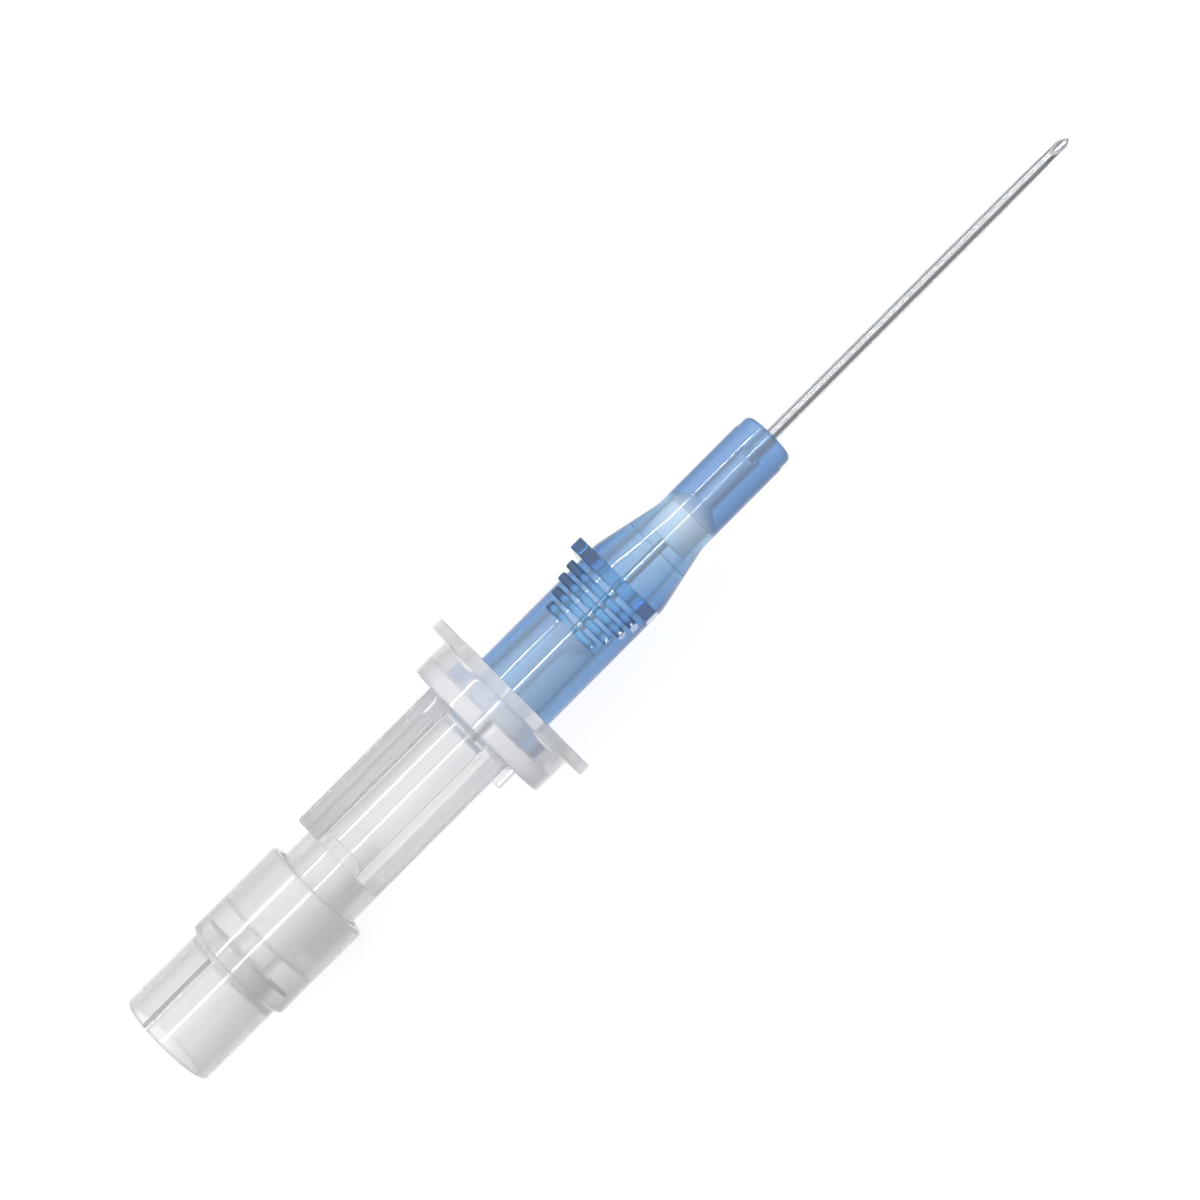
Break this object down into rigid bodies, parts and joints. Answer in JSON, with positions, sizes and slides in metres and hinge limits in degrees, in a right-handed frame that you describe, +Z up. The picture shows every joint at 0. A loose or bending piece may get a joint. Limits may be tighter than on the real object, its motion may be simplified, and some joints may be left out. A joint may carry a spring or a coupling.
{
  "type": "iv cannula",
  "caption": "Straight over-the-needle IV cannula with a bevelled steel needle, ridged hub with push-off tab, clear flash chamber with finger flange, and vented rear plug.",
  "frame": {"origin": "centre of the footprint, on the surface the cannula lies on", "axes": "+X towards the needle tip along the surface, +Z up, the bevel and push-off tab up; the cannula's own axis rises 4.22 degrees towards the tip"},
  "size_m": [0.081, 0.0132, 0.0114],
  "materials": {
    "needle_steel": "polished stainless tube",
    "clear_plastic": "clear moulded plastic, glossy",
    "adhesive": "cured clear adhesive",
    "tube_plastic": "clear flexible tube, smooth",
    "ferrule_plastic": "pale translucent moulded wedge",
    "septum_rubber": "soft white moulding",
    "blue_plastic": "translucent blue moulded plastic, glossy",
    "filter_plastic": "porous white plastic"
  },
  "bodies": {
    "needle_assembly": {"needle_hub": "clear_plastic", "needle": "needle_steel", "needle_adhesive": "adhesive"},
    "catheter": {"catheter_hub": "blue_plastic", "catheter_tube": "tube_plastic", "catheter_ferrule": "ferrule_plastic", "hub_septum": "septum_rubber"},
    "plug": {"vent_plug": "clear_plastic", "vent_filter": "filter_plastic"}
  },
  "joints": [
    {"name": "catheter_slide", "type": "slide", "parent": "needle_assembly", "child": "catheter", "axis": [0.9973, 0, 0.0736], "range_m": [0, 0.055]},
    {"name": "plug_slide", "type": "slide", "parent": "needle_assembly", "child": "plug", "axis": [-0.9973, 0, -0.0736], "range_m": [0, 0.012]}
  ]
}
